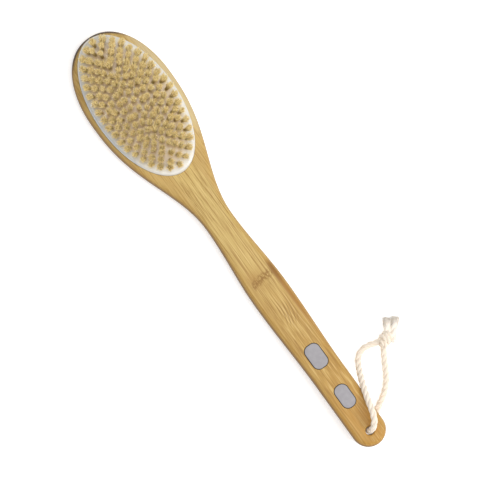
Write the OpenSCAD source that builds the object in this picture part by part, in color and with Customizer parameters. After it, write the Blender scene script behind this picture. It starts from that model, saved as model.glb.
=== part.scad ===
// Long-handled body dry brush. A bamboo board carries an oval pad of bristle tufts,
// two soft grip inserts and a knotted hanging cord. It lies on its back, bristles up.
// X runs from the head's tip to the handle's end and Z is up. The origin is the
// middle of the board's base.

/* [Board outline] */
// Length of the board, from head tip to handle end
board_length = 400; // [330:1:480]
// Width of the head at its widest
head_width = 77; // [64:0.5:100]
// Distance from the head's tip to its widest place
head_peak = 61; // [50:1:75]
// Width of the neck at its narrowest
neck_width = 24.6; // [20:0.2:32]
// Distance from the head's tip to the neck's narrowest place
neck_place = 181; // [165:1:200]
// Width of the grip at its widest
grip_width = 32.4; // [28:0.2:40]
// Distance from the head's tip to the grip's widest place
grip_place = 254; // [235:1:270]
// Width of the handle's end, which is a half circle
end_width = 28.4; // [23:0.2:34]
// Distance from the handle's end to where its width becomes constant
end_straight = 65; // [55:1:80]

/* [Board side profile] */
// Thickness of the head
head_thickness = 13; // [11:0.5:16]
// Thickness of the neck
neck_thickness = 12; // [10:0.5:15]
// Thickness of the grip
grip_thickness = 14; // [12:0.5:18]
// Thickness of the handle's end
end_thickness = 11; // [10:0.5:13]
// Length of the head's flat back, from the head's tip
flat_length = 125; // [100:1:150]
// Height of the neck's underside above the table
neck_rise = 3; // [0:0.5:6]
// Height of the handle end's underside above the table
end_rise = 9.5; // [9:0.25:12]
// Rounding of the board's edges
edge_radius = 5; // [3:0.25:5]

/* [Bristle pad] */
// Length of the oval pad
pad_length = 130; // [105:1:131]
// Width of the bamboo rim at each side of the pad
pad_rim = 4.1; // [3:0.1:12]
// Margin of bamboo between the head's tip and the pad
pad_margin = 2; // [2:0.25:10]
// Depth of the recess that the pad sits in
pad_seat = 4; // [3:0.25:6]
// Height of the pad above the board's face
pad_proud = 2.5; // [2:0.25:4]
// Rounding of the pad's top edge
pad_round = 1.8; // [1:0.1:2]
// Clearance round the pad in its recess
pad_gap = 0.15; // [0.1:0.05:0.4]

/* [Bristle tufts] */
// Length of a tuft above the pad
tuft_length = 17; // [12:0.5:24]
// Diameter of a tuft's hole in the pad
tuft_hole = 2.4; // [1.8:0.1:2.8]
// Clearance between a tuft's root and its hole, each side
tuft_gap = 0.1; // [0.05:0.05:0.2]
// Depth of a tuft's hole
tuft_depth = 5; // [4:0.25:5.25]
// Width of a tuft's tips, as a share of the distance between rings
tuft_fill = 0.82; // [0.5:0.01:0.9]
// Distance between tufts along a ring
tuft_pitch = 7.1; // [6.5:0.1:9]
// Distance from the pad's edge to the outer ring
ring_inset = 7.7; // [6:0.1:10]
// Outward lean of the outer ring, in degrees
outer_lean = 10.5; // [0:0.5:13]
// Thickness of the wire staple that holds a tuft
staple_thickness = 0.3; // [0.2:0.05:0.5]
// Height of the wire staple
staple_height = 1.2; // [0.8:0.1:1.8]

/* [Grip inserts] */
// Length of the upper insert
upper_length = 21.4; // [17:0.2:26]
// Width of the upper insert
upper_width = 13.5; // [11:0.1:16.2]
// Distance from the handle's end to the middle of the upper insert
upper_place = 86; // [82:1:92]
// Length of the lower insert
lower_length = 20.5; // [17:0.5:25]
// Width of the lower insert
lower_width = 12.1; // [11:0.1:14.6]
// Distance from the handle's end to the middle of the lower insert
lower_place = 47; // [42:1:52]
// Radius of the inserts' corners
insert_corner = 5.4; // [3:0.1:5.4]
// Depth of the inserts' pockets
insert_depth = 3; // [2:0.25:4]
// Height of an insert above the handle's face
insert_proud = 0.3; // [0:0.05:0.6]
// Clearance round an insert in its pocket
insert_gap = 0.3; // [0.1:0.05:0.5]

/* [Hanging cord] */
// Diameter of the cord
cord_diameter = 5.4; // [4:0.1:5.6]
// Diameter of the hang hole
hole_diameter = 6.8; // [6:0.1:8.2]
// Distance from the handle's end to the hang hole's axis
hole_place = 13; // [12:0.5:16]
// Size of the chamfer at the hang hole's two mouths
hole_chamfer = 1.5; // [0.5:0.1:2]
// Outer diameter of the knot
knot_diameter = 12; // [11:0.5:12.5]
// Diameter of a loose cord end beyond the knot
tail_diameter = 5.6; // [4:0.1:5.8]

/* [Hidden] */

// Finish colours
bamboo_colour = [0.83, 0.66, 0.36];
pad_colour = [0.93, 0.93, 0.9];
bristle_colour = [0.8, 0.69, 0.4];
steel_colour = [0.7, 0.7, 0.72];
insert_colour = [0.72, 0.71, 0.73];
cord_colour = [0.95, 0.92, 0.85];

// Drawing fineness: points along an outline's quarter, and steps round an edge
quarter_steps = 14;
edge_steps = 4;
round_fn = 48;
tuft_fn = 16;
hole_sides = 12;
cut_clear = 1;

// Stations along the board, in X
tip_x = -board_length / 2;
end_x = board_length / 2;
peak_x = tip_x + head_peak;
neck_x = tip_x + neck_place;
grip_x = tip_x + grip_place;
straight_x = end_x - end_straight;
arc_x = end_x - end_width / 2;
flat_x = tip_x + flat_length;
hole_x = end_x - hole_place;
upper_x = end_x - upper_place;
lower_x = end_x - lower_place;
// Fullness of the head's rounded tip: 2 is an ellipse
head_fullness = 2.15;
// Bias of the shoulder curve towards the neck
shoulder_bias = 1.2;

// Share of the way from a to b, held between 0 and 1
function share(x, a, b) = max(0, min(1, (x - a) / (b - a)));
// Smooth step from p at a to q at b
function ease(x, a, b, p, q, bias = 1) =
    p + (q - p) * (1 - cos(180 * pow(share(x, a, b), bias))) / 2;
// Half width of the outline between the head's peak and the handle's end arc
function half_width(x) =
    (x < neck_x ? ease(x, peak_x, neck_x, head_width, neck_width, shoulder_bias)
    : x < grip_x ? ease(x, neck_x, grip_x, neck_width, grip_width)
    : ease(x, grip_x, straight_x, grip_width, end_width)) / 2;
// Height of the underside and thickness of the board at x
function under_z(x) =
    x < neck_x ? ease(x, flat_x, neck_x, 0, neck_rise)
    : x < grip_x ? ease(x, neck_x, grip_x, neck_rise, 0)
    : ease(x, grip_x, hole_x, 0, end_rise);
function thickness(x) =
    x < neck_x ? ease(x, flat_x, neck_x, head_thickness, neck_thickness)
    : x < grip_x ? ease(x, neck_x, grip_x, neck_thickness, grip_thickness)
    : ease(x, grip_x, hole_x, grip_thickness, end_thickness);
function top_z(x) = under_z(x) + thickness(x);
// Slope of the top face at x, in degrees, falling towards +X where positive
function top_slope(x) = -atan(top_z(x + 0.5) - top_z(x - 0.5));

// Upper half of the board's outline, from the tip to the handle's end
head_arc = [for (i = [0:quarter_steps])
    let (a = 90 * i / quarter_steps)
    [peak_x - head_peak * pow(cos(a), 2 / head_fullness),
     head_width / 2 * pow(sin(a), 2 / head_fullness)]];
side_steps = 3 * quarter_steps;
side_line = [for (i = [1:side_steps - 1])
    let (x = peak_x + (arc_x - peak_x) * i / side_steps)
    [x, half_width(x)]];
end_arc = [for (i = [0:quarter_steps])
    let (a = 90 * i / quarter_steps)
    [arc_x + end_width / 2 * sin(a), end_width / 2 * cos(a)]];
board_half = concat(head_arc, side_line, end_arc);
// Upper half of an ellipse with half axes a and b
function oval_half(a, b) = [for (i = [0:2 * quarter_steps])
    let (t = 180 - 90 * i / quarter_steps) [a * cos(t), b * sin(t)]];

// Inward unit normal at point i of an outline's upper half
function inward(p, i) =
    i == 0 ? [1, 0]
    : i == len(p) - 1 ? [-1, 0]
    : let (t = p[i + 1] - p[i - 1]) [t[1], -t[0]] / norm(t);
// Upper half moved inward by d; its two ends stay on the axis
function inset_half(p, d) = [for (i = [0:len(p) - 1]) p[i] + d * inward(p, i)];
// Whole outline from an upper half, turning once
function whole(p) = concat(p, [for (i = [len(p) - 2:-1:1]) [p[i][0], -p[i][1]]]);
// Rows of an edge: [inset, share of the straight wall, offset from its end]
function edge_rows(low_r, high_r) = concat(
    [for (i = [0:edge_steps]) let (a = 90 * (1 - i / edge_steps))
        [low_r * (1 - cos(a)), 0, low_r * (1 - sin(a))]],
    [for (i = [0:edge_steps]) let (a = 90 * i / edge_steps)
        [high_r * (1 - cos(a)), 1, high_r * (sin(a) - 1)]]);

// The board's blank, a slab with rounded edges. The rows carry the outline from its base
// to its top, and bands of four-sided faces between facing points close the broad faces.
module board_blank() {
    half = board_half;
    rows = edge_rows(edge_radius, edge_radius);
    m = len(half);
    n = 2 * m - 2;
    levels = len(rows);
    points = [for (row = rows)
        each [for (p = whole(inset_half(half, row[0])))
            [p[0], p[1], (row[1] == 0 ? under_z(p[0]) : top_z(p[0])) + row[2]]]];
    walls = [for (j = [0:levels - 2], i = [0:n - 1])
        let (k = (i + 1) % n)
        [j * n + i, (j + 1) * n + i, (j + 1) * n + k, j * n + k]];
    // Bands between point i on one side and its mirror image on the other
    bands = [for (i = [0:m - 2])
        let (a = i, b = i + 1, c = (n - i - 1) % n, d = (n - i) % n)
        i == 0 ? [a, b, c] : i == m - 2 ? [a, b, d] : [a, b, c, d]];
    top = (levels - 1) * n;
    lids = [for (f = bands) [for (v = [len(f) - 1:-1:0]) f[v] + top]];
    polyhedron(points, concat(walls, bands, lids), convexity = 6);
}

// Places a piece on the top face of the handle, level with it
module on_handle(x) {
    translate([x, 0, top_z(x)]) rotate([0, top_slope(x), 0]) children();
}

// Flat block with rounded corners
module rounded_block(length, width, corner, height) {
    linear_extrude(height) {
        square([length - 2 * corner, width], center = true);
        square([length, width - 2 * corner], center = true);
        for (sx = [-1, 1], sy = [-1, 1])
            translate([sx * (length / 2 - corner), sy * (width / 2 - corner)])
                circle(r = corner, $fn = round_fn);
    }
}

// Pocket for a grip insert, cut through the handle's face
module insert_pocket(x, length, width) {
    on_handle(x) translate([0, 0, -insert_depth])
        rounded_block(length + 2 * insert_gap, width + 2 * insert_gap,
                      insert_corner + insert_gap, insert_depth + cut_clear);
}

module grip_insert(x, length, width) {
    color(insert_colour) on_handle(x) translate([0, 0, -insert_depth])
        rounded_block(length, width, insert_corner, insert_depth + insert_proud);
}

// Vertical hang hole with a chamfer at each mouth
module hang_hole() {
    low = under_z(hole_x);
    high = top_z(hole_x);
    r = hole_diameter / 2;
    mouth = hole_chamfer + cut_clear;
    translate([hole_x, 0, low - cut_clear])
        cylinder(h = high - low + 2 * cut_clear, r = r, $fn = round_fn);
    translate([hole_x, 0, low - cut_clear])
        cylinder(h = mouth, r1 = r + mouth, r2 = r, $fn = round_fn);
    translate([hole_x, 0, high - hole_chamfer])
        cylinder(h = mouth, r1 = r, r2 = r + mouth, $fn = round_fn);
}

// Middle of the pad, and the levels of its seat and its face
pad_x = tip_x + pad_margin + pad_length / 2;
pad_width = head_width - 2 * pad_rim;
seat_z = head_thickness - pad_seat;
pad_z = head_thickness + pad_proud;

module bamboo_board() {
    color(bamboo_colour) difference() {
        board_blank();
        translate([pad_x, 0, seat_z]) linear_extrude(pad_seat + cut_clear)
            polygon(whole(oval_half(pad_length / 2 + pad_gap, pad_width / 2 + pad_gap)));
        insert_pocket(upper_x, upper_length, upper_width);
        insert_pocket(lower_x, lower_length, lower_width);
        hang_hole();
    }
}

// The tufts stand in rings that keep the same distance from the pad's edge
ring_count = 5;
outer_a = pad_length / 2 - ring_inset;
outer_b = pad_width / 2 - ring_inset;
ring_step = outer_b / ring_count;
tuft_spread = tuft_fill * ring_step;
ring_samples = 120;
// Speed of a point on an ellipse with its angle
function oval_speed(a, b, t) = norm([a * sin(t), b * cos(t)]) * 360 / ring_samples * PI / 180;
// Table of [length so far, angle] round an ellipse
function oval_table(a, b) = [
    for (i = 0, s = 0; i <= ring_samples;
         s = s + oval_speed(a, b, (i + 0.5) * 360 / ring_samples), i = i + 1)
        [s, i * 360 / ring_samples]];
// Places [x, y, direction of lean] of the tufts in ring k, counted from outside.
// Every other ring is turned by half a step.
function ring_places(k) =
    let (a = outer_a - (k - 1) * ring_step,
         b = outer_b - (k - 1) * ring_step,
         table = oval_table(a, b),
         total = table[ring_samples][0],
         count = 2 * round(total / tuft_pitch / 2),
         shift = k % 2 == 0 ? 0.5 : 0)
    [for (i = [0:count - 1])
        let (t = lookup((i + shift) / count * total, table))
        [a * cos(t), b * sin(t), atan2(a * sin(t), b * cos(t))]];
// The middle row's tufts stand midway between those of the innermost ring
row_places = let (p = ring_places(ring_count))
    [for (i = [1:len(p) / 2 - 2]) [(p[i][0] + p[i + 1][0]) / 2, 0, 0]];
function places(k) = k > ring_count ? row_places : ring_places(k);
function lean(k) = k > ring_count ? 0 : outer_lean * (1 - (k - 1) / ring_count);

// Repeats a piece at every tuft of ring k, leaning outward from the pad's face
module at_tufts(k) {
    for (p = places(k))
        translate([pad_x + p[0], p[1], pad_z])
            rotate([0, lean(k), p[2]])
                children();
}

// The pad's body. Its rounded top edge is a flight of fine terraces.
module pad_blank() {
    half = oval_half(pad_length / 2, pad_width / 2);
    for (i = [0:edge_steps])
        let (a = 90 * i / edge_steps)
        translate([pad_x, 0, seat_z])
            linear_extrude(pad_z - seat_z - pad_round * (1 - sin(a)))
                polygon(whole(inset_half(half, pad_round * (1 - cos(a)))));
}

module bristle_pad() {
    color(pad_colour) difference() {
        pad_blank();
        for (k = [1:ring_count + 1])
            at_tufts(k) translate([0, 0, -tuft_depth])
                cylinder(h = tuft_depth + cut_clear, d = tuft_hole, $fn = hole_sides);
    }
}

// A staple stands on edge across its twelve-sided hole, inside the fold of its tuft
fold_thickness = 0.4;
staple_gap = 0.02;
staple_width = tuft_hole * cos(180 / hole_sides) - 2 * staple_gap;
staple_z = fold_thickness - tuft_depth + tuft_gap;

module staple_block(extra = 0) {
    translate([0, 0, staple_z + staple_height / 2])
        cube([staple_thickness + extra, staple_width + extra, staple_height + extra],
             center = true);
}

module staples(k) {
    color(steel_colour) at_tufts(k) staple_block();
}

// A tuft: a round root in its hole, spreading into a cone of bristles
module tufts(k) {
    root = tuft_hole - 2 * tuft_gap;
    color(bristle_colour) at_tufts(k) difference() {
        union() {
            translate([0, 0, tuft_gap - tuft_depth])
                cylinder(h = tuft_depth - tuft_gap, d = root, $fn = tuft_fn);
            cylinder(h = tuft_length, d1 = root, d2 = tuft_spread, $fn = tuft_fn);
        }
        staple_block(2 * tuft_gap);
    }
}

// Route of the cord's middle line in the hang hole's frame: from the knot over the
// handle, down through the hole and back under the handle to the knot
cord_route = [
    [-51, 52, 6], [-52.5, 46.5, 4.5], [-54, 41, 3.5], [-54.5, 35.5, 3], [-53, 30.5, 3],
    [-49.5, 26.5, 4.2], [-44.5, 23.2, 7], [-39.5, 20.5, 10.7], [-34.5, 18, 15],
    [-28.5, 15.5, 19.5], [-22, 13.2, 23.4], [-16, 11.4, 26.2], [-10.6, 9.6, 28],
    [-5.7, 7.2, 28], [-2.2, 4.4, 25.9], [-0.3, 1.6, 22.1], [0, 0, 17.8],
    [0, -0.1, 13.4], [-0.4, 0.9, 9.1], [-1.6, 3.5, 5.7], [-3.3, 7, 3.6], [-5.5, 11, 3],
    [-8.3, 16, 3], [-12, 22.5, 3], [-16, 28.5, 3], [-21, 33.8, 3], [-27, 38.2, 3],
    [-33.5, 42, 3], [-40, 45.6, 3.7], [-45.5, 49, 5], [-49.5, 53, 6]];
cord_sides = 10;
// The knot and the loose ends lie beyond the loop
knot_place = [-50.5, 53.5, 6.3];
knot_turn = 97;
knot_wraps = 2;
tail_inner = [[-52, 56, 5.5], [-64, 66, 3.2]];
tail_outer = [[-47.3, 59.8, 5.5], [-60.8, 72, 3.2]];

// Unit direction of the route at point i
function along(p, i) =
    let (d = p[min(i + 1, len(p) - 1)] - p[max(i - 1, 0)]) d / norm(d);
// Side vector carried along the route with the least turning
function carried(p, i) =
    let (t = along(p, i),
         from = i == 0 ? [0, 0, 1] : carried(p, i - 1),
         side = from - t * (from * t))
    side / norm(side);

// A round tube whose rings stand square to the route
module cord_tube(p, r) {
    points = [for (i = [0:len(p) - 1])
        let (t = along(p, i), u = carried(p, i), v = cross(t, u))
        for (j = [0:cord_sides - 1])
            let (a = 360 * j / cord_sides) p[i] + r * (u * cos(a) + v * sin(a))];
    last = (len(p) - 1) * cord_sides;
    walls = [for (i = [0:len(p) - 2], j = [0:cord_sides - 1])
        let (k = (j + 1) % cord_sides, q = i * cord_sides, s = q + cord_sides)
        [q + j, s + j, s + k, q + k]];
    caps = [[for (j = [0:cord_sides - 1]) j],
            [for (j = [cord_sides - 1:-1:0]) last + j]];
    polyhedron(points, concat(walls, caps), convexity = 8);
}

module at_hole() {
    translate([hole_x, 0, 0]) children();
}

module hang_cord() {
    color(cord_colour) at_hole() cord_tube(cord_route, cord_diameter / 2);
}

// The knot: wraps of cord pulled tight round the two strands
module cord_knot() {
    wrap_pitch = cord_diameter * 0.9;
    ring_r = (knot_diameter - cord_diameter) / 2;
    color(cord_colour) at_hole() translate(knot_place) rotate([-90, 0, knot_turn - 90]) {
        for (i = [0:knot_wraps - 1])
            translate([0, 0, (i - (knot_wraps - 1) / 2) * wrap_pitch])
                rotate_extrude($fn = round_fn) translate([ring_r, 0])
                    circle(d = cord_diameter, $fn = round_fn);
        cylinder(h = knot_wraps * wrap_pitch, r = ring_r, center = true, $fn = round_fn);
    }
}

// A loose end of cord between two points
module cord_tail(ends) {
    run = ends[1] - ends[0];
    reach = norm([run[0], run[1]]);
    color(cord_colour) at_hole() translate(ends[0])
        rotate([0, atan2(reach, run[2]), atan2(run[1], run[0])])
            cylinder(h = norm(run), d = tail_diameter, $fn = round_fn);
}

bamboo_board();
bristle_pad();
tufts(1);  // tufts_ring_1
tufts(2);  // tufts_ring_2
tufts(3);  // tufts_ring_3
tufts(4);  // tufts_ring_4
tufts(5);  // tufts_ring_5
tufts(6);  // tufts_centre_row
staples(1);  // staples_ring_1
staples(2);  // staples_ring_2
staples(3);  // staples_ring_3
staples(4);  // staples_ring_4
staples(5);  // staples_ring_5
staples(6);  // staples_centre_row
grip_insert(upper_x, upper_length, upper_width);  // upper_grip_insert
grip_insert(lower_x, lower_length, lower_width);  // lower_grip_insert
hang_cord();
cord_knot();
cord_tail(tail_inner);  // cord_tail_inner
cord_tail(tail_outer);  // cord_tail_outer
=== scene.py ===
import math

import bpy
import numpy as np
from bpy.props import FloatProperty, FloatVectorProperty, IntProperty, PointerProperty
from bpy.types import Operator, Panel, PropertyGroup
from mathutils import Matrix, Vector


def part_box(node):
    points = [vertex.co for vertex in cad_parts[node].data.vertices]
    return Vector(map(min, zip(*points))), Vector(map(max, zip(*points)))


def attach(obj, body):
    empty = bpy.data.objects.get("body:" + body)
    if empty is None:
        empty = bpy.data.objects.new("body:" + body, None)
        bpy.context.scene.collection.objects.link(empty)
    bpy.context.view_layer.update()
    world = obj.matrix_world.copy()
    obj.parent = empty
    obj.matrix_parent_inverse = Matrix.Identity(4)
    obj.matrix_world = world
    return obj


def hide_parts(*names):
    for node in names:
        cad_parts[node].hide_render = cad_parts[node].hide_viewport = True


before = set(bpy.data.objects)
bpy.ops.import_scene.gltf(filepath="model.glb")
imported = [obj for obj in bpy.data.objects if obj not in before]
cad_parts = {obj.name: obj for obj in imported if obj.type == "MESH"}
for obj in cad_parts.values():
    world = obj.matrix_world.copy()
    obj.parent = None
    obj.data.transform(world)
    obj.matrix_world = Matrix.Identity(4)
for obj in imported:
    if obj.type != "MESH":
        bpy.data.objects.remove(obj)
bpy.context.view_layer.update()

bl_info = {
    "name": "Body dry brush",
    "version": (1, 0, 0),
    "blender": (4, 5, 0),
    "location": "3D View > Sidebar > Dry brush",
    "description": "Long bamboo bath brush with bristle tufts, grip inserts and a knotted cord",
    "category": "Add Mesh",
}

# The object's box as it was designed
BOARD_LOW, BOARD_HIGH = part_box("bamboo_board")
PAD_LOW, PAD_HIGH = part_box("bristle_pad")
UPPER_LOW, UPPER_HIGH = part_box("upper_grip_insert")
LOWER_LOW, LOWER_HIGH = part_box("lower_grip_insert")
MM = 0.001
TURN = 2 * math.pi


def number(name, default, description, **more):
    """A number property."""
    return FloatProperty(name=name, default=default, description=description, **more)


def length(name, millimetres, description):
    """A length property, given in millimetres and kept in metres."""
    return number(name, millimetres * MM, description, unit="LENGTH", precision=5)


def in_degrees(name, degrees, description):
    """An angle property, given in degrees and kept in radians."""
    return number(name, math.radians(degrees), description, subtype="ANGLE")


def how_many(name, default, description):
    """A whole-number property, one or more."""
    return IntProperty(name=name, default=default, description=description, min=1)


def colour(name, default, description):
    """A colour property in linear red, green and blue."""
    return FloatVectorProperty(name=name, default=default, description=description,
                               subtype="COLOR", size=3, min=0, max=1)


# ---- Settings


class BoardSettings(PropertyGroup):
    head_peak: length("Head peak", 61, "From the head's tip to its widest place")
    neck_width: length("Neck width", 24.6, "Width of the neck at its narrowest")
    neck_place: length("Neck place", 181, "From the head's tip to the narrowest place")
    grip_width: length("Grip width", 32.4, "Width of the grip at its widest")
    grip_place: length("Grip place", 254, "From the head's tip to the grip's widest place")
    end_width: length("End width", 28.4, "Width of the handle's rounded end")
    end_straight: length("Straight end", 65, "From the end to where the width is constant")
    head_thickness: length("Head thickness", 13, "Thickness of the head")
    neck_thickness: length("Neck thickness", 12, "Thickness of the neck")
    grip_thickness: length("Grip thickness", 14, "Thickness of the grip")
    end_thickness: length("End thickness", 11, "Thickness of the handle's end")
    flat_length: length("Flat back", 125, "Length of the head's flat back")
    neck_rise: length("Neck rise", 3, "Height of the neck's underside")
    end_rise: length("End rise", 9.5, "Height of the end's underside")
    edge_radius: length("Edge radius", 5, "Rounding of the board's edges")
    hole_width: length("Hole width", 6.8, "Diameter of the hang hole")
    hole_place: length("Hole place", 13, "From the end to the hang hole's axis")
    hole_mouth: length("Hole mouth", 1.5, "Rounding of the hang hole's two mouths")
    head_fullness: number("Head fullness", 2.15, "Roundness of the head's tip; 2 is an ellipse")
    shoulder_bias: number("Shoulder bias", 1.2, "Bias of the shoulder curve towards the neck")


class PadSettings(PropertyGroup):
    seat_depth: length("Seat depth", 4, "Depth of the recess that the pad sits in")
    edge_round: length("Edge rounding", 1.8, "Rounding of the pad's top edge")
    gap: length("Gap", 0.15, "Clearance round the pad in its recess")
    dimple: length("Dimple", 0.35, "Depth of the dimple round a tuft's root")


class TuftSettings(PropertyGroup):
    height: length("Height", 17, "Length of a tuft above the pad")
    root: length("Root", 2.2, "Diameter of a tuft at the pad")
    spread: length("Spread", 6.2, "Diameter of a tuft across its tips")
    pitch: length("Pitch", 7.1, "Distance between tufts along a ring")
    inset: length("Inset", 7.7, "From the pad's edge to the outer ring")
    lean: in_degrees("Lean", 10.5, "Outward lean of the outer ring")
    rings: how_many("Rings", 5, "Number of oval rings")
    bristles: how_many("Bristles", 120, "Bristles in a tuft")
    thickness: length("Bristle thickness", 0.4, "Thickness of a bristle at its root")


class InsertSettings(PropertyGroup):
    corner: length("Corner", 5.4, "Radius of an insert's corners")
    depth: length("Depth", 3, "Depth of an insert's pocket")
    gap: length("Gap", 0.3, "Clearance round an insert in its pocket")
    proud: length("Proud", 0.3, "Height of an insert above the handle")
    edge: length("Edge", 0.7, "Rounding of an insert's edge")


class CordSettings(PropertyGroup):
    thickness: length("Thickness", 5.4, "Diameter of the twisted cord")
    lay: length("Lay", 17, "Length in which a strand winds once round the cord")
    knot_width: length("Knot width", 12, "Outer diameter of the knot")
    end_width: length("End width", 6.2, "Diameter of a loose end")
    fray: length("Fray", 10, "Length of the frayed fibres at a loose end")


class FinishSettings(PropertyGroup):
    bamboo_pale: colour("Pale bamboo", (0.645, 0.462, 0.155), "Bamboo at the head and neck")
    bamboo_gold: colour("Golden bamboo", (0.505, 0.268, 0.05), "Bamboo at the handle's end")
    bamboo_vein: colour("Bamboo vein", (0.36, 0.19, 0.045), "The fine dark lines in bamboo")
    bamboo_node: colour("Bamboo node", (0.30, 0.15, 0.035), "The dark band where a stem had a joint")
    pad_white: colour("Pad", (0.76, 0.73, 0.66), "Clear white rubber of the pad")
    bristle_tip: colour("Bristle tip", (0.90, 0.74, 0.36), "Bristles at their tips")
    bristle_root: colour("Bristle root", (0.46, 0.35, 0.12), "Bristles at their roots")
    insert_grey: colour("Grip grey", (0.37, 0.352, 0.37), "Soft grey of the grip inserts")
    cord_cream: colour("Cord cream", (0.90, 0.79, 0.66), "Cotton of the cord")
    cord_shade: colour("Cord shade", (0.62, 0.47, 0.33), "Between the cord's strands")
    steel: colour("Steel", (0.55, 0.55, 0.57), "Wire of the staples")


class StageSettings(PropertyGroup):
    tilt: in_degrees("Tilt", 3.5, "Tilt of the view about the brush's length")
    roll: in_degrees("Roll", 54.41, "Turn of the brush in the picture")
    distance: length("Distance", 1395, "From the camera to the brush")
    lens: number("Lens", 130, "Focal length in millimetres")
    floor: colour("Floor", (0.93, 0.93, 0.93), "Colour of the floor")
    key: number("Key light", 9, "Power of the main light", subtype="POWER")
    overhead: number("Overhead light", 19, "Power of the light overhead", subtype="POWER")
    sky: number("Sky", 0.42, "Strength of the light all round")


class DryBrushSettings(PropertyGroup):
    board: PointerProperty(type=BoardSettings)
    pad: PointerProperty(type=PadSettings)
    tuft: PointerProperty(type=TuftSettings)
    insert: PointerProperty(type=InsertSettings)
    cord: PointerProperty(type=CordSettings)
    finish: PointerProperty(type=FinishSettings)
    stage: PointerProperty(type=StageSettings)


def settings():
    """The settings kept with the scene."""
    return bpy.context.scene.dry_brush


# ---- Shader maths


class Wire:
    """A node's output that takes part in sums as a number does."""

    def __init__(self, paint, socket):
        self.paint, self.socket = paint, socket

    def sum(self, operation, *others, first=None, clamp=False):
        values = dict(enumerate([self if first is None else first, *others]))
        return self.paint.node("ShaderNodeMath", {"operation": operation, "use_clamp": clamp},
                               values)

    def __add__(self, other): return self.sum("ADD", other)
    def __radd__(self, other): return self.sum("ADD", self, first=other)
    def __sub__(self, other): return self.sum("SUBTRACT", other)
    def __rsub__(self, other): return self.sum("SUBTRACT", self, first=other)
    def __mul__(self, other): return self.sum("MULTIPLY", other)
    def __rmul__(self, other): return self.sum("MULTIPLY", self, first=other)
    def __truediv__(self, other): return self.sum("DIVIDE", other)
    def size(self): return self.sum("ABSOLUTE")
    def clamp(self): return self.sum("ADD", 0.0, clamp=True)
    def sine(self): return self.sum("SINE")
    def floor(self): return self.sum("FLOOR")
    def share(self): return self.sum("FRACT")

    def between(self, low, high):
        """0 at low, 1 at high and a smooth step between; either may be the larger."""
        return self.paint.node("ShaderNodeMapRange", {"interpolation_type": "SMOOTHSTEP"},
                               {0: self, 1: low, 2: high, 3: 0.0, 4: 1.0})


class Paint:
    """A material being made, with its principled shader."""

    def __init__(self, name):
        self.material = bpy.data.materials.new(name)
        self.material.use_nodes = True
        self.tree = self.material.node_tree
        self.shader = self.tree.nodes["Principled BSDF"]

    def node(self, kind, options=None, values=None, output=0):
        """Adds a node: its options are set first, then its sockets' values or wires."""
        made = self.tree.nodes.new(kind)
        for key, value in (options or {}).items():
            setattr(made, key, value)
        for key, value in (values or {}).items():
            if isinstance(value, Wire):
                self.tree.links.new(value.socket, made.inputs[key])
            else:
                made.inputs[key].default_value = value
        return Wire(self, made.outputs[output])

    def parts(self, vector):
        """The x, y and z of a vector."""
        return [self.node("ShaderNodeSeparateXYZ", None, {0: vector}, i) for i in range(3)]

    def place(self):
        """The point on the piece in metres, and its x, y and z."""
        point = self.node("ShaderNodeTexCoord", output="Object")
        return (point, *self.parts(point))

    def painted(self, name):
        """The number that paint_points kept on the mesh under a name."""
        return self.node("ShaderNodeAttribute", {"attribute_name": name}, output="Fac")

    def vector(self, x, y, z):
        return self.node("ShaderNodeCombineXYZ", None, {0: x, 1: y, 2: z})

    def noise(self, vector, scale=1.0, detail=2.0, roughness=0.5):
        return self.node("ShaderNodeTexNoise", None,
                         {"Vector": vector, "Scale": scale, "Detail": detail,
                          "Roughness": roughness})

    def mix(self, first, second, factor):
        """Colour that goes from first to second with factor."""
        first, second = [c if isinstance(c, Wire) else (*c, 1) for c in (first, second)]
        return self.node("ShaderNodeMix", {"data_type": "RGBA"},
                         {0: factor, 6: first, 7: second}, 2)

    def layers(self, rgb, *layers):
        """Lays colours over rgb in turn, each by its own factor."""
        for tint, factor in layers:
            rgb = self.mix(rgb, tint, factor)
        return rgb

    def bump(self, height, strength, distance):
        return self.node("ShaderNodeBump", None, {"Height": height, "Strength": strength,
                                                  "Distance": distance})

    def set(self, **sockets):
        """Sets the shader's sockets; a word's underscore stands for a space."""
        for key, value in sockets.items():
            socket = self.shader.inputs[key.replace("_", " ")]
            if isinstance(value, Wire):
                self.tree.links.new(value.socket, socket)
            elif hasattr(socket.default_value, "__len__") and len(socket.default_value) == 4:
                socket.default_value = (*value, 1)
            else:
                socket.default_value = value
        return self.material


# ---- Finishes


# Where the bamboo's strips begin across it, their width, the middle strip's middle and
# the node's place along the board
STRIP_START, STRIP_WIDTH, STRIP_MIDDLE, NODE_PLACE = -0.0097, 0.021, 0.0008, 0.0385


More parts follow.
